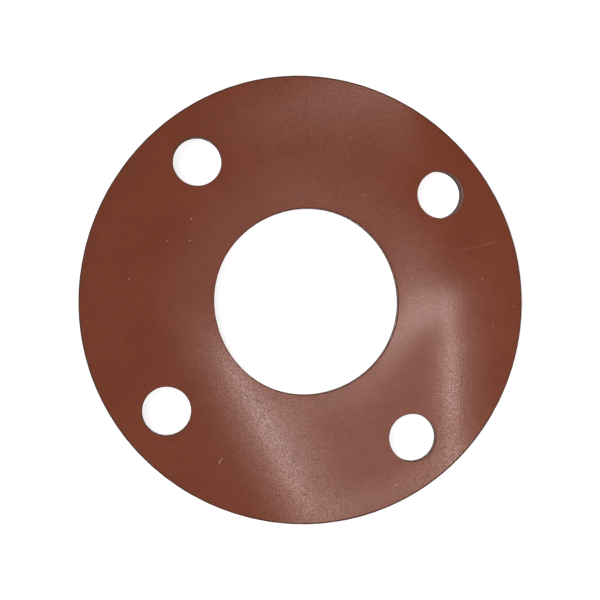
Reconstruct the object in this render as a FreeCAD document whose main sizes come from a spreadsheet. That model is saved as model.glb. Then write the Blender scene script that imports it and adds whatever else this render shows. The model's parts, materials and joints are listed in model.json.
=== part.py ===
"""Full-face flange gasket, die cut in one piece from 1/8 in red rubber sheet.

A flat ring the size of the whole flange face. The bore in the middle clears the
pipe, and a circle of bolt holes lets the flange bolts through. The gasket lies on
its lower face: the origin is the middle of that face and +Z runs up through the
sheet. As on any pipe flange, the bolt holes straddle the X and Y axes.
Sizes are in millimetres and follow a 2-1/2 in class 150 flange.
"""

import FreeCAD, Part
import math
import os
import Sketcher

PARTS_FOLDER = "parts"

# The driving dimensions: alias, value and what it sets.
DIMENSIONS = [
    ("bore_diameter", 73.5, "middle hole, just over the pipe's outside"),
    ("bolt_circle_diameter", 139.7, "circle through the middles of the bolt holes"),
    ("bolt_hole_diameter", 19.05, "each bolt hole"),
    ("bolt_hole_count", 4, "bolt holes, evenly spaced"),
    ("rim_width", 9.525, "rubber left between a bolt hole and the outside"),
    ("sheet_thickness", 3.175, "thickness of the rubber sheet"),
    ("cut_edge_radius", 0.2, "edge that the die rolls over on the face it enters"),
]

# The outside is as wide as the flange: the rim's width beyond the bolt holes.
OUTER_DIAMETER = (
    "<<dimensions>>.bolt_circle_diameter + <<dimensions>>.bolt_hole_diameter"
    " + 2 * <<dimensions>>.rim_width"
)
BOLT_CIRCLE_RADIUS = "<<dimensions>>.bolt_circle_diameter / 2"

# A hole's middle is half a step round from +X, so that the holes straddle the axes.
FIRST_HOLE_ANGLE = "180 deg / <<dimensions>>.bolt_hole_count"

ORIGIN = FreeCAD.Vector(0, 0, 0)
UP = FreeCAD.Vector(0, 0, 1)

# A sketch constraint names a point of a shape by its place in this list, and the
# sketch's own X axis, which starts at the sketch's origin, by this number.
SHAPE_POINTS = ["whole", "start", "end", "centre"]
SKETCH_X_AXIS = -1


def add_dimensions(doc):
    """A spreadsheet of the driving dimensions, one aliased cell each."""
    sheet = doc.addObject("Spreadsheet::Sheet", "dimensions")
    for row, (alias, value, meaning) in enumerate(DIMENSIONS, start=1):
        sheet.set(f"A{row}", alias)
        sheet.set(f"B{row}", str(value))
        sheet.set(f"C{row}", meaning)
        sheet.setAlias(f"B{row}", alias)
    doc.recompute()
    return sheet


def origin_feature(body, role):
    """The plane or axis of the body's own origin that has this role."""
    return next(item for item in body.Origin.OriginFeatures if item.Role == role)


def add_face_sketch(body, name):
    """An empty sketch on the body's XY plane, where the gasket's lower face lies."""
    sketch = body.newObject("Sketcher::SketchObject", name)
    sketch.AttachmentSupport = (origin_feature(body, "XY_Plane"), [""])
    sketch.MapMode = "FlatFace"
    return sketch


def bind(sketch, constraint, name, expression):
    """Adds a named constraint to the sketch and binds its value to an expression."""
    index = sketch.addConstraint(constraint)
    sketch.renameConstraint(index, name)
    sketch.setExpression(f".Constraints.{name}", expression)


def join(sketch, shape, point, other=SKETCH_X_AXIS, other_point="start"):
    """Holds a point of a shape on a point of another, or on the sketch's origin."""
    ends = (shape, SHAPE_POINTS.index(point), other, SHAPE_POINTS.index(other_point))
    sketch.addConstraint(Sketcher.Constraint("Coincident", *ends))


def add_circle(sketch, centre, name, expression):
    """A circle whose diameter is a named constraint, bound to an expression."""
    diameter = sketch.evalExpression(expression)
    circle = sketch.addGeometry(Part.Circle(centre, UP, diameter / 2), False)
    bind(sketch, Sketcher.Constraint("Diameter", circle, diameter), name, expression)
    return circle


def add_ring(body):
    """The sheet between the outer edge and the bore, one sheet thickness high."""
    sketch = add_face_sketch(body, "ring_outline")
    outside = add_circle(sketch, ORIGIN, "outer_diameter", OUTER_DIAMETER)
    bore = add_circle(sketch, ORIGIN, "bore_diameter", "<<dimensions>>.bore_diameter")
    join(sketch, outside, "centre")
    join(sketch, bore, "centre")
    ring = body.newObject("PartDesign::Pad", "ring")
    ring.Profile = sketch
    ring.setExpression("Length", "<<dimensions>>.sheet_thickness")
    body.Document.recompute()
    return ring


def sketch_first_hole(body):
    """The outline of one bolt hole, at the end of a spoke of the bolt circle."""
    dimensions = body.Document.dimensions
    reach = dimensions.bolt_circle_diameter / 2
    angle = math.pi / dimensions.bolt_hole_count
    middle = FreeCAD.Vector(reach * math.cos(angle), reach * math.sin(angle), 0)

    sketch = add_face_sketch(body, "bolt_hole_outline")
    spoke = sketch.addGeometry(Part.LineSegment(ORIGIN, middle), True)
    hole = add_circle(
        sketch, middle, "bolt_hole_diameter", "<<dimensions>>.bolt_hole_diameter"
    )
    join(sketch, spoke, "start")
    join(sketch, hole, "centre", spoke, "end")
    bind(
        sketch,
        Sketcher.Constraint("Distance", spoke, reach),
        "bolt_circle_radius",
        BOLT_CIRCLE_RADIUS,
    )
    bind(
        sketch,
        Sketcher.Constraint("Angle", spoke, angle),
        "first_hole_angle",
        FIRST_HOLE_ANGLE,
    )
    body.Document.recompute()
    return sketch


def add_bolt_holes(body):
    """One bolt hole cut through the sheet, and repeated round the bolt circle."""
    hole = body.newObject("PartDesign::Pocket", "bolt_hole")
    hole.Profile = sketch_first_hole(body)
    hole.Type = "ThroughAll"
    hole.Reversed = True
    body.Document.recompute()

    holes = body.newObject("PartDesign::PolarPattern", "bolt_holes")
    holes.Originals = [hole]
    holes.Axis = (origin_feature(body, "Z_Axis"), [""])
    holes.Angle = 360
    holes.setExpression("Occurrences", "<<dimensions>>.bolt_hole_count")
    body.Tip = holes
    body.Document.recompute()
    return holes


def add_cut_edges(body, base):
    """Rounds every edge of the upper face, where the cutting die enters."""
    half_height = base.Shape.BoundBox.Center.z
    edges = [
        f"Edge{number}"
        for number, edge in enumerate(base.Shape.Edges, start=1)
        if edge.BoundBox.ZMin > half_height
    ]
    rounding = body.newObject("PartDesign::Fillet", "cut_edges")
    rounding.Base = (base, edges)
    rounding.setExpression("Radius", "<<dimensions>>.cut_edge_radius")
    body.Document.recompute()
    return rounding


def add_gasket(doc):
    """The whole gasket: a ring, its bolt holes and its rolled cut edges."""
    gasket = doc.addObject("PartDesign::Body", "Body")
    gasket.Label = "flange_gasket"
    gasket.Placement = FreeCAD.Placement(ORIGIN, FreeCAD.Rotation())
    ring = add_ring(gasket)
    holes = add_bolt_holes(gasket)
    if holes.Shape.Volume >= ring.Shape.Volume:
        raise RuntimeError("the bolt holes cut nothing away")
    add_cut_edges(gasket, holes)
    return gasket


def check(doc, sub_parts):
    """Stops with a message if a feature failed or a sub-part isn't a sound solid."""
    for item in doc.Objects:
        if "Invalid" in item.State or "Error" in item.State:
            raise RuntimeError(f"{item.Label} failed: {item.State}")
    for part in sub_parts:
        if part.Shape.isNull() or not part.Shape.isValid():
            raise RuntimeError(f"{part.Label} has no valid shape")
        if len(part.Shape.Solids) != 1:
            raise RuntimeError(f"{part.Label} is not one solid")


document = FreeCAD.newDocument("flange_gasket")
add_dimensions(document)
parts = [add_gasket(document)]
check(document, parts)
os.makedirs(PARTS_FOLDER, exist_ok=True)
for part in parts:
    part.Shape.exportStep(os.path.join(PARTS_FOLDER, f"{part.Label}.step"))
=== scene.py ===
"""The looks of the red rubber flange gasket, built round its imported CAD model.

The gasket is one sheet of calendered rubber, die cut. Its face is finely grained under a
thin gloss, and its cut walls are matt. The CAD node gives the sizes, and a finer mesh
takes its place here, with the slight waves, the rolled edges and the small unevenness of
real sheet.

Lengths are in metres, and a name that ends in _MM is in millimetres.
"""

import itertools
import json
import math
from dataclasses import dataclass

import bpy
import numpy as np
from mathutils import Euler, Matrix, Vector, noise
from mathutils.geometry import delaunay_2d_cdt


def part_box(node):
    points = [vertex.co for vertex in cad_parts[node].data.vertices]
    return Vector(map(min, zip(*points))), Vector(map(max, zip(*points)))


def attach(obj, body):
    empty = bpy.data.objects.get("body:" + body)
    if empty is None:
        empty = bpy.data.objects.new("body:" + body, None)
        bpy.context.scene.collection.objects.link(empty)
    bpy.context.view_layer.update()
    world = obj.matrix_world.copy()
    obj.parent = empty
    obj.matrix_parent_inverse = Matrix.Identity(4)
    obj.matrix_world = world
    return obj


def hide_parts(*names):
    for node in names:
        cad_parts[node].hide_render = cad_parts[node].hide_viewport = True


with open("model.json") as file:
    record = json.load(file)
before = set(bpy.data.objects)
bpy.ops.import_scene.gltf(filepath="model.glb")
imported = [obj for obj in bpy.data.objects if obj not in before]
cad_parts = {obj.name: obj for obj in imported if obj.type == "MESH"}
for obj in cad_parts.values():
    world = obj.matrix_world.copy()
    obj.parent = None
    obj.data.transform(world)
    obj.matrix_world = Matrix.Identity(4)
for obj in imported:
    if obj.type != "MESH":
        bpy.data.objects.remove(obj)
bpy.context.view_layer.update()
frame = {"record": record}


@dataclass
class Edge:
    """One cut edge of the sheet.

    side is 1 for the outside and -1 for an opening, and roll is the radius of the rolled
    upper edge. spring says how far the edge is out of round, and slant how far the lower
    end of its wall is off, in mm.
    """

    radius: float
    centre: tuple
    side: int
    roll: float
    spring: list
    slant: tuple = (0, 0)


@dataclass
class Noise:
    """A soft noise: the width of one grain in mm, and the detail and roughness of its steps."""

    grain_mm: float
    detail: float = 2.0
    roughness: float = 0.5


# One millimetre.
MM = 0.001
NODE = "flange_gasket"

# The camera stands over the gasket, a little to the left, as the photograph's did.
CAMERA_PLACE_MM = (-43.9, -11.6, 379.2)
CAMERA_TILT_DEG = (1.017, -6.459, 6.819)
CAMERA_LENS_MM = 57.06
CAMERA_SENSOR_MM = 36.0
CAMERA_CLIP = (0.01, 50)

# The mesh: the spacing of its points on the faces and along the cut edges, and how many of
# the face's steps stay free beside an edge.
FACE_STEP_MM = 1.5
EDGE_STEP_MM = 0.8
FREE_STEPS = 0.6

# The faces' triangulation keeps all triangles, and joins points only this close, in metres.
ALL_TRIANGLES = 0
WELD_DISTANCE = 1e-9

# Faces that meet at more than this angle are shaded with a sharp edge.
SHARP_ANGLE_DEG = 40

# The cutting die leaves the upper edges rolled: the radius of the outside, of the bore and
# of the bolt holes, of which one, by number, is sharper. A flat band runs along each roll.
OUTSIDE_ROLL_MM = 0.60
BORE_ROLL_MM = 0.25
HOLE_ROLL_MM = 0.25
SHARPER_ROLLS_MM = {0: 0.10}
RIM_BAND_MM = 0.15
ROLL_STEPS = 5
WALL_STEPS = 7

# Small unevenness of a cut wall: how far it reaches, and the width of one bump.
WALL_WEAR_MM = 0.05
WALL_WEAR_SPAN_MM = 3.0

# How far soft sheet springs out of round when it is cut: how many times round the edge,
# how far in mm, and where it reaches furthest, in degrees from +X.
OUTSIDE_SPRING = [(0, 0.18, 0), (1, 0.53, 96), (2, 0.33, -57), (3, 0.26, -25), (4, 0.12, 22)]
BORE_SPRING = [(0, 0.25, 0), (1, 0.52, -9), (2, 0.17, 79), (4, 0.15, -15)]

# The punch went through the sheet at a slant in one bolt hole: by the hole's number, how
# far the lower end is off along X and Y.
HOLE_SLANTS_MM = {0: (-1.0, 0.0)}

# The sheet's gentle waves: how many times round, height at the outside in mm, place of
# the crest in degrees from +X, and the power of the radius that the height grows with.
WAVES = [(2, 0.30, 72, 2), (3, 0.16, 15, 3)]

# The mesh keeps how deep each point lies: 0 on the upper face and 1 on the lower one.
DEPTH = "depth"

# The sheet's materials by number, and the number for each row of faces down a cut wall.
SKIN, RIM, CUT = range(3)
WALL_MATERIALS = [SKIN] + [RIM] * ROLL_STEPS + [CUT] * WALL_STEPS

# The colours, which are linear. The rim is the rolled edge, painted dark as painted shade along each
# cut edge, and the wall is below it.
RUBBER_COLOUR = (0.152, 0.034, 0.0145)
RUBBER_DARK = (0.127, 0.0275, 0.011)
RUBBER_PALE = (0.167, 0.0395, 0.018)
# The wall is paler at the top, partly its own grey cut colour and partly painted light where the edge
# catches it, and darker towards the bottom as painted shade near the floor.
WALL_UPPER = (0.190, 0.110, 0.095)
WALL_SHADED_BOTTOM = (0.080, 0.049, 0.044)
RIM_SHADE_UPPER = (0.060, 0.026, 0.019)
RIM_SHADE_LOWER = (0.045, 0.018, 0.013)
DUST_COLOUR = (0.44, 0.27, 0.19)
PIT_COLOUR = (0.06, 0.017, 0.009)
WHITE = (1, 1, 1, 1)

# The face's noises, the range of each that shows, and the share of its colour.
CLOUDS = Noise(22, 3)
MOTTLE = Noise(4, 4, 0.6)
GRAIN = Noise(0.9, 2, 0.6)
PITTING = Noise(0.50, 1)
RIPPLES = Noise(7, 1)
CLOUD_RANGE = (0.35, 0.65)
MOTTLE_RANGE = (0.35, 0.75)
MOTTLE_SHARE = 0.45
GRAIN_RANGE = (0.50, 0.80)
GRAIN_SHARE = 0.25
PIT_RANGE = (0.34, 0.60)
PIT_SHARE = 0.12
DUST_SHARE = 0.65

# The face's relief. The thin gloss fills most of a pit, and the body under it is deeper.
RIPPLE_DEPTH_MM = 0.008
GRAIN_DEPTH_MM = 0.005
GLOSS_PIT_DEPTH_MM = 0.004
BODY_PIT_DEPTH_MM = 0.015

# How the face shines: the body, and the gloss over it, of which a pit loses a share.
RUBBER_IOR = 1.5
FACE_SPECULAR = 0.18
FACE_ROUGHNESS = (0.34, 0.42)
GLOSS_ROUGHNESS = 0.06
PIT_GLOSS_LOSS = 0.50

# The cut walls: drag lines drawn out down the wall, crumbs, and a ragged border at this
# depth, below which the wall is painted darker, as painted shade near the floor.
DRAG = Noise(0.4, 3, 0.6)
DRAG_STRETCH = (1, 1, 0.12)
DRAG_RANGE = (0.35, 0.7)
DRAG_SHARE = 0.3
DRAG_DEPTH_MM = 0.05
CRUMBS = Noise(0.25, 2)
CRUMB_DEPTH_MM = 0.02
RAGGED = Noise(1.5, 2)
RAGGED_SHARE = 0.3
WALL_SHADE_RANGE = (0.30, 0.60)
WALL_SPECULAR = 0.08
WALL_ROUGHNESS = (0.62, 0.78)

# The range of a noise that a roughness follows.
ROUGHNESS_RANGE = (0.3, 0.7)

# Marks lie on the upper face alone. Each is full out to one share of its radius and gone
# at the other.
UPPER_DEPTHS = (0.4, 0.6)
SPOT_FADE = (0.5, 1.3)
STROKE_FADE = (0.3, 1.3)

# Specks of pale dust, in mm: place and radius.
DUST_MM = [
    (-48.9, 26.7, 0.34),
    (-48.4, 18.1, 0.34),
    (-57.1, 17.0, 0.26),
    (-70.1, 0.2, 0.30),
    (9.9, 67.2, 0.30),
    (17.9, 44.9, 0.26),
    (41.7, 14.4, 0.26),
    (70.5, 17.6, 0.30),
    (85.2, 8.1, 0.30),
    (77.3, -1.0, 0.26),
    (80.8, -2.1, 0.26),
    (44.9, -68.9, 0.30),
    (53.9, -64.8, 0.26),
]

# Dark pits, in mm: place and radius.
PITS_MM = [(2.8, -63.8, 0.35), (4.3, -67.0, 0.25), (8.5, -76.3, 0.35)]

# A faint scratch in two parts and the two strands of a fibre, in mm: both ends, half the
# width, and how much of the dust's colour they have.
SCRATCHES_MM = [
    ((60.1, 28.2), (66.5, 30.2), 0.40, 0.06),
    ((66.5, 30.2), (74.6, 33.3), 0.35, 0.12),
    ((-25.7, -65.4), (-26.4, -66.9), 0.20, 0.55),
    ((-26.7, -66.4), (-26.3, -67.5), 0.20, 0.55),
]

# Dark scuffs, likewise, and how much of the pits' colour they have.
SCUFFS_MM = [
    ((-20.5, -39.4), (-15.1, -41.0), 0.20, 0.35),
    ((-15.1, -41.0), (-13.2, -42.2), 0.30, 0.80),
    ((-3.1, -58.2), (2.8, -63.8), 0.20, 0.30),
    ((7.4, -78.6), (7.1, -86.0), 0.60, 0.22),
]

# The softbox hangs this far over the sheet, which mirrors it to the camera. It is a pane
# with brighter edges, made of glows: ribbons that fade out to both sides of a line. All
# are laid out by where they show on the sheet's face, in mm, each a gap over the last.
SOFTBOX_HEIGHT_MM = 250
LAYER_GAP_MM = 1
PANE_TINT = (1.0, 0.90, 0.86)
PANE_LEVEL = 1.2
PANE_MM = [(57.5, 8), (67, -60), (16, -88), (-34, -22), (2, -38), (38, -5)]

# The sheet's slope is measured over this distance to each side.
SLOPE_REACH_MM = 0.5

# A glowing mesh keeps two values at each point: its fade, from 1 at full down to 0, and its
# level, of which 1 is white.
FADE = "fade"
LEVEL = "level"

# Each glow: how far it reaches to the left and to the right of its line, and the points
# of the line with the level at each.
GLOW_TINT = (1.0, 0.82, 0.75)
GLOWS = {
    "right_core": (
        4.5,
        4.5,
        [(55.6, 13, 0), (57.6, 6, 5.6), (61.1, -12, 8.8), (63.6, -32, 8.6), (68.5, -64, 3)],
    ),
    "right": (
        20,
        10,
        [(55.5, 17, 0), (58, 6, 1.1), (61.1, -12, 1.6), (63.6, -32, 1.6), (68.5, -64, 0.3)],
    ),
    "left_core": (
        6,
        6,
        [(-36.4, -15.6, 0), (-25.4, -31.6, 4.6), (-9.9, -51.6, 4.4), (5.5, -74.7, 3.9), (16, -92, 0)],
    ),
    "left": (
        25,
        20,
        [
            (-43, -1, 0),
            (-31.8, -21.6, 2.1),
            (-24.3, -32.6, 2),
            (-9.3, -51.6, 3.5),
            (6, -74.7, 2.7),
            (18.5, -101, 0),
        ],
    ),
    "top": (
        11,
        14,
        [(68, 9.5, 0), (57, 7, 2), (49.5, 3, 5.4), (43, -2, 5.3), (37, -10.5, 4.7), (29, -23.5, 0)],
    ),
    "halo": (
        8,
        26,
        [
            (49, -8, 0),
            (40, 8.5, 3),
            (30, 27.5, 1.2),
            (13.5, 37.5, 1.1),
            (-7, 39, 1.3),
            (-30, 24.5, 0.7),
            (-40, -0.5, 0.6),
            (-36, -20, 0),
        ],
    ),
    "bore": (
        14,
        6,
        [(43, -2.5, 0), (36, -16, 0.8), (25.5, -29.5, 2.1), (12, -36.5, 1.7), (-4, -37.5, 0)],
    ),
    "bottom": (
        16,
        8,
        [(0.5, -93, 0), (20, -86, 2.6), (43.5, -79, 3.1), (59, -69.5, 3.7), (71, -57, 3), (81, -43, 0)],
    ),
    "edge": (
        3,
        92,
        [(18, 110.5, 0), (26, 93, 2.6), (31.5, 81.5, 1.3), (36.5, 67, 0.5), (40.5, 52, 0)],
    ),
}

# Soft lamps, far away: azimuth, elevation and spread in degrees, and what each adds to a
# white surface that lies flat. The last one lights the underside, through the floor.
SUNS = {
    "key": (160, 40, 40, 0.45),
    "fill": (250, 35, 40, 0.18),
    "from_below": (0, -90, 10, 0.80),
}

# The surround is white up to the first height and dim from the second one on, as the sine
# of the elevation.
WORLD_HEIGHTS = (0.10, 0.72)
WORLD_LEVELS = (1.0, 0.10)

# The floor: half its width in metres, its grey, and the glow that makes it look white.
FLOOR_REACH = 4.0
FLOOR_COLOUR = (0.45, 0.45, 0.45, 1)
FLOOR_ROUGHNESS = 0.9
FLOOR_GLOW = 0.74
FLOOR_GAP_MM = 0.05

# The numbers of the sockets that the Mix node uses for colours.
MIX_SHARE, MIX_FIRST, MIX_SECOND, MIX_RESULT = 0, 6, 7, 2


def mounts():
    """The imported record's mounts by name, which hold the sizes of the openings."""
    return {mount["name"]: mount["dims"] for mount in frame["record"]["mounts"]}


lowest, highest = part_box(NODE)
OUTSIDE_RADIUS = (highest.x - lowest.x) / 2
THICKNESS = highest.z - lowest.z
BORE_RADIUS = mounts()["bore"]["r_mm"] * MM
BOLTS = mounts()["bolt_holes"]


def cut_edges():
    """The outside, the bore and the bolt holes, which straddle the axes."""
    edges = [
        Edge(OUTSIDE_RADIUS, (0, 0), 1, OUTSIDE_ROLL_MM * MM, OUTSIDE_SPRING),
        Edge(BORE_RADIUS, (0, 0), -1, BORE_ROLL_MM * MM, BORE_SPRING),
    ]
    reach = BOLTS["pcd_mm"] / 2 * MM
    for number in range(BOLTS["count"]):
        angle = (number + 0.5) * 2 * math.pi / BOLTS["count"]
        centre = (reach * math.cos(angle), reach * math.sin(angle))
        roll = SHARPER_ROLLS_MM.get(number, HOLE_ROLL_MM) * MM
        slant = HOLE_SLANTS_MM.get(number, (0, 0))
        edges.append(Edge(BOLTS["hole_r_mm"] * MM, centre, -1, roll, [], slant))
    return edges


def reach_at(edge, angles, inset):
    """How far a cut edge is from its centre at these angles, moved into the sheet by inset."""
    reach = np.full(len(angles), edge.radius - edge.side * inset)
    for times, rise, crest in edge.spring:
        reach += rise * MM * np.cos(times * (angles - math.radians(crest)))
    return reach


def edge_loop(edge, inset):
    """Evenly spaced points round a cut edge, moved into the sheet by inset."""
    count = round(2 * math.pi * edge.radius / (EDGE_STEP_MM * MM))
    angles = np.linspace(0, 2 * math.pi, count, endpoint=False)
    reach = reach_at(edge, angles, inset)
    away = np.column_stack([reach * np.cos(angles), reach * np.sin(angles)])
    return np.array(edge.centre) + away


def lift(x, y):
    """Height of the sheet's gentle waves over the floor, before its lowest point is put down."""
    radius = np.hypot(x, y) / OUTSIDE_RADIUS
    angle = np.arctan2(y, x)
    height = np.zeros_like(radius)
    for times, rise, crest, power in WAVES:
        height += rise * MM * radius**power * np.cos(times * (angle - math.radians(crest)))
    return height


def wall_profile(roll):
    """From the upper face down to the lower one: how far in from the cut, and how high."""
    profile = [(roll + RIM_BAND_MM * MM, THICKNESS)]
    for step in range(ROLL_STEPS + 1):
        angle = math.pi / 2 * step / ROLL_STEPS
        profile.append((roll * (1 - math.sin(angle)), THICKNESS - roll * (1 - math.cos(angle))))
    for step in range(1, WALL_STEPS + 1):
        profile.append((0, (THICKNESS - roll) * (1 - step / WALL_STEPS)))
    return profile


def wear(points, height):
    """Small unevenness of a cut wall, where the die dragged on the rubber."""
    span = WALL_WEAR_SPAN_MM * MM
    return np.array(
        [noise.noise(Vector((x, y, height)) / span) * WALL_WEAR_MM * MM for x, y in points]
    )


def edge_rings(edge):
    """The rings of points down one cut wall, as an array of rings by points by xyz."""
    rings = []
    for inset, height in wall_profile(edge.roll):
        loop = edge_loop(edge, inset)
        outward = loop - np.array(edge.centre)
        outward /= np.linalg.norm(outward, axis=1)[:, None]
        if 0 < height < THICKNESS:
            loop = loop + outward * wear(loop, height)[:, None]
        loop = loop + np.array(edge.slant) * MM * (1 - height / THICKNESS)
        rings.append(np.column_stack([loop, np.full(len(loop), height)]))
    return np.array(rings)


def face_points(edges):
    """A triangular pattern of points over the sheet, clear of every cut edge."""
    step = FACE_STEP_MM * MM
    row_step = step * math.sqrt(3) / 2
    rows = math.ceil(OUTSIDE_RADIUS / row_step)
    points = []
    for row in range(-rows, rows + 1):
        shift = step / 2 * (row % 2)
        along = np.arange(-OUTSIDE_RADIUS, OUTSIDE_RADIUS, step) + shift
        points.append(np.column_stack([along, np.full(len(along), row * row_step)]))
    points = np.concatenate(points)
    for edge in edges:
        away = points - np.array(edge.centre)
        angles = np.arctan2(away[:, 1], away[:, 0])
        clear = step * FREE_STEPS + edge.roll + RIM_BAND_MM * MM + np.hypot(*edge.slant) * MM
        reach = reach_at(edge, angles, clear)
        distance = np.hypot(away[:, 0], away[:, 1])
        points = points[distance < reach if edge.side > 0 else distance > reach]
    return points


def fill_face(loops, sides, inner):
    """Triangles over one face, by number: the points of all loops first, then the inner ones.

    A triangle with all three corners on one opening's loop would close that opening, so it
    is left out.
    """
    places = np.concatenate(loops + [inner])
    owner = np.full(len(places), -1)
    borders = []
    start = 0
    for number, (loop, side) in enumerate(zip(loops, sides)):
        count = len(loop)
        borders += [(start + i, start + (i + 1) % count) for i in range(count)]
        if side < 0:
            owner[start : start + count] = number
        start += count
    corners = [Vector(place) for place in places]
    result = delaunay_2d_cdt(corners, borders, [], ALL_TRIANGLES, WELD_DISTANCE)
    if len(result[0]) != len(places):
        raise RuntimeError("the face's outline was changed while it was filled")
    return [
        triangle
        for triangle in result[2]
        if owner[triangle[0]] < 0 or len({owner[corner] for corner in triangle}) > 1
    ]


def both_faces(walls, first, sides, inner):
    """The triangles of the upper and the lower face, by their points' numbers in the mesh."""
    faces = []
    last_ring = len(walls[0]) - 1
    for ring, inner_start in ((0, first[-1]), (last_ring, first[-1] + len(inner))):
        loops = [rings[ring][:, :2] for rings in walls]
        numbers = [
            start + ring * len(loop) + np.arange(len(loop)) for start, loop in zip(first, loops)
        ]
        numbers = np.concatenate(numbers + [inner_start + np.arange(len(inner))])
        for triangle in fill_face(loops, sides, inner):
            face = tuple(int(numbers[corner]) for corner in triangle)
            faces.append(face if ring == 0 else face[::-1])
    return faces


def wall_faces(rings, start, outside):
    """The faces between a wall's rings, whose first point has this number, and their materials."""
    levels, count = rings.shape[:2]
    faces = []
    materials = []
    for level in range(levels - 1):
        upper = start + level * count
        lower = upper + count
        for i in range(count):
            j = (i + 1) % count
            face = (upper + i, lower + i, lower + j, upper + j)
            faces.append(face if outside else face[::-1])
            materials.append(WALL_MATERIALS[level])
    return faces, materials


def gasket_mesh():
    """The whole sheet as one closed mesh: points, faces, each face's material, and depths."""
    edges = cut_edges()
    walls = [edge_rings(edge) for edge in edges]
    inner = face_points(edges)

    points = [rings.reshape(-1, 3) for rings in walls]
    first = np.cumsum([0] + [len(wall) for wall in points])
    points.append(np.column_stack([inner, np.full(len(inner), THICKNESS)]))
    points.append(np.column_stack([inner, np.zeros(len(inner))]))
    points = np.concatenate(points)

    faces = []
    materials = []
    for edge, rings, start in zip(edges, walls, first):
        more_faces, more_materials = wall_faces(rings, start, edge.side > 0)
        faces += more_faces
        materials += more_materials
    more_faces = both_faces(walls, first, [edge.side for edge in edges], inner)
    faces += more_faces
    materials += [SKIN] * len(more_faces)

    depths = 1 - points[:, 2] / THICKNESS
    waves = lift(points[:, 0], points[:, 1])
    points[:, 2] += lowest.z + waves - waves.min()
    return points, faces, materials, depths


def add_gasket():
    """The sheet as a Blender object that rides on the CAD body and stands for its node."""
    points, faces, materials, depths = gasket_mesh()
    mesh = bpy.data.meshes.new("gasket_sheet")
    mesh.from_pydata(points.tolist(), [], faces)
    mesh.attributes.new(DEPTH, "FLOAT", "POINT").data.foreach_set("value", depths)
    mesh.materials.append(rubber_face())
    # The rolled edge is painted dark, as painted shade along each cut edge.
    mesh.materials.append(cut_wall("red_rubber_rim", RIM_SHADE_UPPER, RIM_SHADE_LOWER))
    # The cut wall is painted darker towards the bottom, as painted shade near the floor.
    mesh.materials.append(cut_wall("red_rubber_cut", WALL_UPPER, WALL_SHADED_BOTTOM))
    mesh.polygons.foreach_set("material_index", materials)
    mesh.polygons.foreach_set("use_smooth", [True] * len(faces))
    mesh.set_sharp_from_angle(angle=math.radians(SHARP_ANGLE_DEG))
    mesh.validate()
    mesh.update()
    sheet = bpy.data.objects.new("gasket_sheet", mesh)
    bpy.context.scene.collection.objects.link(sheet)
    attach(sheet, "root")
    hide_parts(NODE)


def new_material(name):
    """A material with its node tree, its shader and its place on the object."""
    material = bpy.data.materials.new(name)
    material.use_nodes = True
    tree = material.node_tree
    shader = tree.nodes["Principled BSDF"]
    place = tree.nodes.new("ShaderNodeTexCoord").outputs["Object"]
    return material, tree, shader, place


def wire(tree, kind, sources=(), settings=()):
    """A new node, with its inputs linked or set and its own settings made."""
    made = tree.nodes.new(kind)
    for name, value in dict(settings).items():
        setattr(made, name, value)
    for name, value in dict(sources).items():
        if isinstance(value, bpy.types.NodeSocket):
            tree.links.new(value, made.inputs[name])
        else:
            made.inputs[name].default_value = value
    return made


def noise_field(tree, place, kind):
    """Soft noise of this kind, from 0 to 1."""
    sources = {
        "Vector": place,
        "Scale": 1 / (kind.grain_mm * MM),
        "Detail": kind.detail,
        "Roughness": kind.roughness,
    }
    return wire(tree, "ShaderNodeTexNoise", sources).outputs["Fac"]


def spread(tree, value, low, high, to_low=0.0, to_high=1.0):
    """The value's range from low to high, stretched smoothly to a new range."""
    sources = {
        "Value": value,
        "From Min": low,
        "From Max": high,
        "To Min": to_low,
        "To Max": to_high,
    }
    settings = {"interpolation_type": "SMOOTHSTEP"}
    return wire(tree, "ShaderNodeMapRange", sources, settings).outputs["Result"]


def arithmetic(tree, operation, first, second):
    """The sum, product or other result of two numbers."""
    made = wire(tree, "ShaderNodeMath", {0: first, 1: second}, {"operation": operation})
    return made.outputs["Value"]


def share_of(tree, value, share):
    """The value times a share."""
    return arithmetic(tree, "MULTIPLY", value, share)


def strongest(tree, values):
    """The highest of several values."""
    highest_yet = values[0]
    for value in values[1:]:
        highest_yet = arithmetic(tree, "MAXIMUM", highest_yet, value)
    return highest_yet


def blend(tree, share, colour, other):
    """One colour turned into the other by a share from 0 to 1."""
    made = tree.nodes.new("ShaderNodeMix")
    made.data_type = "RGBA"
    tree.links.new(share, made.inputs[MIX_SHARE])
    for number, value in ((MIX_FIRST, colour), (MIX_SECOND, other)):
        if isinstance(value, bpy.types.NodeSocket):
            tree.links.new(value, made.inputs[number])
        else:
            made.inputs[number].default_value = (*value, 1.0)
    return made.outputs[MIX_RESULT]


def bump(tree, height, depth_mm, normal=None):
    """A relief of this depth, on top of another one if there is one."""
    sources = {"Height": height, "Distance": depth_mm * MM, "Strength": 1.0}
    if normal is not None:
        sources["Normal"] = normal
    return wire(tree, "ShaderNodeBump", sources).outputs["Normal"]


def vector_step(tree, operation, first, second, output="Vector"):
    """The result of one step of vector arithmetic."""
    made = wire(tree, "ShaderNodeVectorMath", {0: first, 1: second}, {"operation": operation})
    return made.outputs[output]


def kept_value(tree, name):
    """A value that the mesh keeps under this name."""
    return wire(tree, "ShaderNodeAttribute", settings={"attribute_name": name}).outputs["Fac"]


def faded(tree, distance, radius_mm, fade, share):
    """The share inside a mark of this radius, and 0 well outside it."""
    core, end = (radius_mm * MM * part for part in fade)
    return spread(tree, distance, core, end, share, 0.0)


def spots(tree, place, marks):
    """1 inside small round marks, in mm, and 0 elsewhere: place is flat, with no height."""
    values = []
    for x, y, radius in marks:
        away = vector_step(tree, "DISTANCE", place, (x * MM, y * MM, 0), "Value")
        values.append(faded(tree, away, radius, SPOT_FADE, 1.0))
    return strongest(tree, values)


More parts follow.
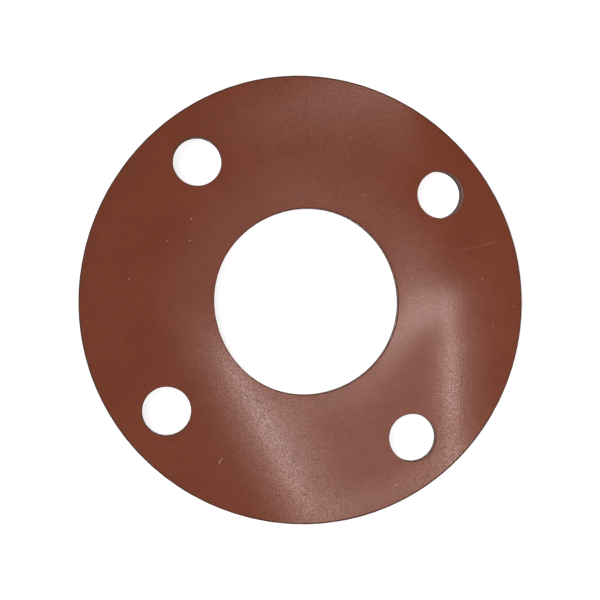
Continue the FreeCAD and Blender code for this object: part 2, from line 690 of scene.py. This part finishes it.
def strokes(tree, place, marks):
    """Thin straight marks, in mm, with a share for each: place is flat, with no height."""
    values = []
    for start, end, radius, share in marks:
        first = Vector((*start, 0)) * MM
        along = Vector((*end, 0)) * MM - first
        away = vector_step(tree, "SUBTRACT", place, first)
        reach = vector_step(tree, "DOT_PRODUCT", away, along / along.length_squared, "Value")
        reach = wire(tree, "ShaderNodeClamp", {"Value": reach}).outputs["Result"]
        sources = {0: along, "Scale": reach}
        nearest = wire(tree, "ShaderNodeVectorMath", sources, {"operation": "SCALE"})
        away = vector_step(tree, "DISTANCE", away, nearest.outputs["Vector"], "Value")
        values.append(faded(tree, away, radius, STROKE_FADE, share))
    return strongest(tree, values)


def face_marks(tree, place):
    """How strong the pale marks and the dark marks are, on the upper face alone."""
    flat = vector_step(tree, "MULTIPLY", place, (1, 1, 0))
    upper = spread(tree, kept_value(tree, DEPTH), *UPPER_DEPTHS, 1.0, 0.0)
    dust = share_of(tree, spots(tree, flat, DUST_MM), DUST_SHARE)
    pale = strongest(tree, [dust, strokes(tree, flat, SCRATCHES_MM)])
    dark = strongest(tree, [spots(tree, flat, PITS_MM), strokes(tree, flat, SCUFFS_MM)])
    return share_of(tree, pale, upper), share_of(tree, dark, upper)


def face_colour(tree, place, mottle, grain, pits, pale, dark):
    """The face's colour: rubber with clouds, mottling and grain, and its marks."""
    clouds = spread(tree, noise_field(tree, place, CLOUDS), *CLOUD_RANGE)
    mottling = share_of(tree, spread(tree, mottle, *MOTTLE_RANGE), MOTTLE_SHARE)
    graining = share_of(tree, spread(tree, grain, *GRAIN_RANGE), GRAIN_SHARE)
    colour = blend(tree, clouds, RUBBER_COLOUR, RUBBER_PALE)
    colour = blend(tree, mottling, colour, RUBBER_DARK)
    colour = blend(tree, graining, colour, RUBBER_PALE)
    colour = blend(tree, share_of(tree, pits, PIT_SHARE), colour, PIT_COLOUR)
    colour = blend(tree, dark, colour, PIT_COLOUR)
    return blend(tree, pale, colour, DUST_COLOUR)


def rubber_face():
    """Calendered red rubber: mottled, finely grained, with a thin gloss over a matt body."""
    material, tree, shader, place = new_material("red_rubber_face")
    mottle = noise_field(tree, place, MOTTLE)
    grain = noise_field(tree, place, GRAIN)
    ripples = noise_field(tree, place, RIPPLES)
    pits = spread(tree, noise_field(tree, place, PITTING), *PIT_RANGE, 1.0, 0.0)
    pale, dark = face_marks(tree, place)

    colour = face_colour(tree, place, mottle, grain, pits, pale, dark)
    tree.links.new(colour, shader.inputs["Base Color"])
    rough = spread(tree, mottle, *ROUGHNESS_RANGE, *FACE_ROUGHNESS)
    tree.links.new(rough, shader.inputs["Roughness"])
    worn = strongest(tree, [share_of(tree, pits, PIT_GLOSS_LOSS), dark])
    gloss = arithmetic(tree, "SUBTRACT", 1.0, worn)
    tree.links.new(gloss, shader.inputs["Coat Weight"])

    relief = bump(tree, ripples, RIPPLE_DEPTH_MM)
    relief = bump(tree, grain, GRAIN_DEPTH_MM, relief)
    relief = bump(tree, pits, -GLOSS_PIT_DEPTH_MM, relief)
    tree.links.new(relief, shader.inputs["Coat Normal"])
    relief = bump(tree, pits, -BODY_PIT_DEPTH_MM, relief)
    tree.links.new(relief, shader.inputs["Normal"])
    shader.inputs["IOR"].default_value = RUBBER_IOR
    shader.inputs["Specular IOR Level"].default_value = FACE_SPECULAR
    shader.inputs["Coat Roughness"].default_value = GLOSS_ROUGHNESS
    shader.inputs["Coat IOR"].default_value = RUBBER_IOR
    return material


def cut_wall(name, upper, lower):
    """Die-cut rubber: matt, with drag lines down the wall, and painted darker below as painted shade.
    """
    material, tree, shader, place = new_material(name)
    sources = {"Vector": place, "Scale": DRAG_STRETCH}
    stretched = wire(tree, "ShaderNodeMapping", sources).outputs["Vector"]
    drag = noise_field(tree, stretched, DRAG)
    crumbs = noise_field(tree, place, CRUMBS)
    ragged = share_of(tree, noise_field(tree, stretched, RAGGED), RAGGED_SHARE)

    depth = arithmetic(tree, "ADD", kept_value(tree, DEPTH), ragged)
    # Painted shade: the wall's colour turns darker below a ragged depth, for the shade near the floor.
    colour = blend(tree, spread(tree, depth, *WALL_SHADE_RANGE), upper, lower)
    dragged = share_of(tree, spread(tree, drag, *DRAG_RANGE), DRAG_SHARE)
    colour = blend(tree, dragged, colour, lower)
    tree.links.new(colour, shader.inputs["Base Color"])
    relief = bump(tree, drag, DRAG_DEPTH_MM)
    relief = bump(tree, crumbs, CRUMB_DEPTH_MM, relief)
    tree.links.new(relief, shader.inputs["Normal"])
    rough = spread(tree, crumbs, *ROUGHNESS_RANGE, *WALL_ROUGHNESS)
    tree.links.new(rough, shader.inputs["Roughness"])
    shader.inputs["IOR"].default_value = RUBBER_IOR
    shader.inputs["Specular IOR Level"].default_value = WALL_SPECULAR
    return material


def add_camera():
    """The photograph's camera."""
    data = bpy.data.cameras.new("camera")
    data.sensor_width = CAMERA_SENSOR_MM
    data.lens = CAMERA_LENS_MM
    data.clip_start, data.clip_end = CAMERA_CLIP
    camera = bpy.data.objects.new("camera", data)
    camera.location = Vector(CAMERA_PLACE_MM) * MM
    camera.rotation_euler = Euler([math.radians(angle) for angle in CAMERA_TILT_DEG])
    bpy.context.scene.collection.objects.link(camera)
    bpy.context.scene.camera = camera


def face_normal(x, y):
    """The direction that the upper face looks in at this place."""
    reach = SLOPE_REACH_MM * MM
    right, left, far, near = lift(
        np.array([x + reach, x - reach, x, x]), np.array([y, y, y + reach, y - reach])
    )
    return Vector((left - right, near - far, 2 * reach)).normalized()


def mirrored(x_mm, y_mm, height_mm):
    """Where a lamp at this height hangs, for the sheet to mirror it to the camera at x, y."""
    point = Vector((x_mm * MM, y_mm * MM, THICKNESS))
    normal = face_normal(point.x, point.y)
    ray = point - Vector(CAMERA_PLACE_MM) * MM
    out = ray - 2 * ray.dot(normal) * normal
    return point + out * ((height_mm * MM - point.z) / out.z)


def glow(name, tint):
    """A glowing material that adds to what is behind it, as strong as its mesh says."""
    material = bpy.data.materials.new(name)
    material.use_nodes = True
    tree = material.node_tree
    tree.nodes.clear()
    fade = spread(tree, kept_value(tree, FADE), 0.0, 1.0)
    strength = share_of(tree, fade, kept_value(tree, LEVEL))
    emission = wire(tree, "ShaderNodeEmission", {"Color": (*tint, 1.0), "Strength": strength})
    clear = wire(tree, "ShaderNodeBsdfTransparent")
    sources = {0: emission.outputs["Emission"], 1: clear.outputs["BSDF"]}
    both = wire(tree, "ShaderNodeAddShader", sources)
    output = tree.nodes.new("ShaderNodeOutputMaterial")
    tree.links.new(both.outputs["Shader"], output.inputs["Surface"])
    return material


def add_glowing_mesh(name, corners, faces, fades, levels, material):
    """A glowing mesh that lights the sheet, with no shadow and unseen by the camera."""
    mesh = bpy.data.meshes.new(name)
    mesh.from_pydata(corners, [], faces)
    mesh.materials.append(material)
    for wanted, values in ((FADE, fades), (LEVEL, levels)):
        mesh.attributes.new(wanted, "FLOAT", "POINT").data.foreach_set("value", values)
    glowing = bpy.data.objects.new(name, mesh)
    glowing.visible_camera = False
    glowing.visible_shadow = False
    bpy.context.scene.collection.objects.link(glowing)


def ribbon(line, left, right):
    """Both edges of a flat ribbon that reaches this far to the left and right of a line."""
    edges = [], []
    for number, place in enumerate(line):
        before = Vector(line[max(number - 1, 0)])
        after = Vector(line[min(number + 1, len(line) - 1)])
        along = (after - before).normalized()
        across = Vector((-along.y, along.x))
        edges[0].append(Vector(place) + across * left)
        edges[1].append(Vector(place) - across * right)
    return edges


def add_glow(name, left, right, points, height, material):
    """One glow: three rows of corners, of which the middle one follows the line."""
    line = [(x, y) for x, y, level in points]
    levels = [float(level) for x, y, level in points]
    left_edge, right_edge = ribbon(line, left, right)
    rows = left_edge, line, right_edge
    corners = [mirrored(x, y, height) for row in rows for x, y in row]
    count = len(line)
    faces = [
        (start + i, start + i + 1, start + count + i + 1, start + count + i)
        for start in (0, count)
        for i in range(count - 1)
    ]
    fades = [0.0] * count + [1.0] * count + [0.0] * count
    add_glowing_mesh(name, corners, faces, fades, levels * len(rows), material)


def add_softbox():
    """The softbox over the sheet: its glows, and over them its pane."""
    heights = itertools.count(SOFTBOX_HEIGHT_MM, LAYER_GAP_MM)
    material = glow("softbox_glow", GLOW_TINT)
    for name, (left, right, points) in GLOWS.items():
        add_glow(f"glow_{name}", left, right, points, next(heights), material)
    height = next(heights)
    corners = [mirrored(x, y, height) for x, y in PANE_MM]
    count = len(corners)
    material = glow("softbox_pane", PANE_TINT)
    add_glowing_mesh("pane", corners, [range(count)], [1.0] * count, [PANE_LEVEL] * count, material)


def add_sun(name, azimuth_deg, elevation_deg, spread_deg, level):
    """A soft lamp, far away: level is what it adds to a white surface that lies flat."""
    data = bpy.data.lights.new(name, "SUN")
    data.angle = math.radians(spread_deg)
    data.energy = level * math.pi / abs(math.sin(math.radians(elevation_deg)))
    turn = Matrix.Rotation(math.radians(azimuth_deg), 3, "Z")
    tilt = Matrix.Rotation(math.radians(90 - elevation_deg), 3, "Y")
    lamp = bpy.data.objects.new(name, data)
    lamp.rotation_euler = (turn @ tilt).to_euler()
    bpy.context.scene.collection.objects.link(lamp)


def add_world():
    """A pale surround: white at the horizon and below, and dimmer overhead."""
    world = bpy.data.worlds.new("studio")
    world.use_nodes = True
    tree = world.node_tree
    direction = tree.nodes.new("ShaderNodeTexCoord").outputs["Generated"]
    height = wire(tree, "ShaderNodeSeparateXYZ", {"Vector": direction}).outputs["Z"]
    level = spread(tree, height, *WORLD_HEIGHTS, *WORLD_LEVELS)
    tree.links.new(level, tree.nodes["Background"].inputs["Strength"])
    tree.nodes["Background"].inputs["Color"].default_value = WHITE
    bpy.context.scene.world = world


def floor_material():
    """A matt white that keeps the gasket's shadow, and can't be seen from below."""
    material = bpy.data.materials.new("floor")
    material.use_nodes = True
    tree = material.node_tree
    shader = tree.nodes["Principled BSDF"]
    shader.inputs["Base Color"].default_value = FLOOR_COLOUR
    shader.inputs["Roughness"].default_value = FLOOR_ROUGHNESS
    shader.inputs["Specular IOR Level"].default_value = 0.0
    path = tree.nodes.new("ShaderNodeLightPath")
    rays = ("Is Camera Ray", "Is Glossy Ray", "Is Transmission Ray")
    seen = strongest(tree, [path.outputs[ray] for ray in rays])
    shader.inputs["Emission Color"].default_value = WHITE
    tree.links.new(share_of(tree, seen, FLOOR_GLOW), shader.inputs["Emission Strength"])
    clear = tree.nodes.new("ShaderNodeBsdfTransparent")
    side = tree.nodes.new("ShaderNodeNewGeometry").outputs["Backfacing"]
    sources = {0: side, 1: shader.outputs["BSDF"], 2: clear.outputs["BSDF"]}
    both = wire(tree, "ShaderNodeMixShader", sources)
    tree.links.new(both.outputs["Shader"], tree.nodes["Material Output"].inputs["Surface"])
    return material


def add_floor():
    """A plain floor just under the gasket."""
    mesh = bpy.data.meshes.new("floor")
    turns = ((-1, -1), (1, -1), (1, 1), (-1, 1))
    corners = [(x * FLOOR_REACH, y * FLOOR_REACH, 0) for x, y in turns]
    mesh.from_pydata(corners, [], [(0, 1, 2, 3)])
    mesh.materials.append(floor_material())
    floor = bpy.data.objects.new("floor", mesh)
    floor.location.z = lowest.z - FLOOR_GAP_MM * MM
    floor.visible_shadow = False
    bpy.context.scene.collection.objects.link(floor)


add_camera()
add_gasket()
add_floor()
add_world()
add_softbox()
for sun_name, sun_settings in SUNS.items():
    add_sun(sun_name, *sun_settings)
bpy.context.scene.view_settings.view_transform = "Standard"
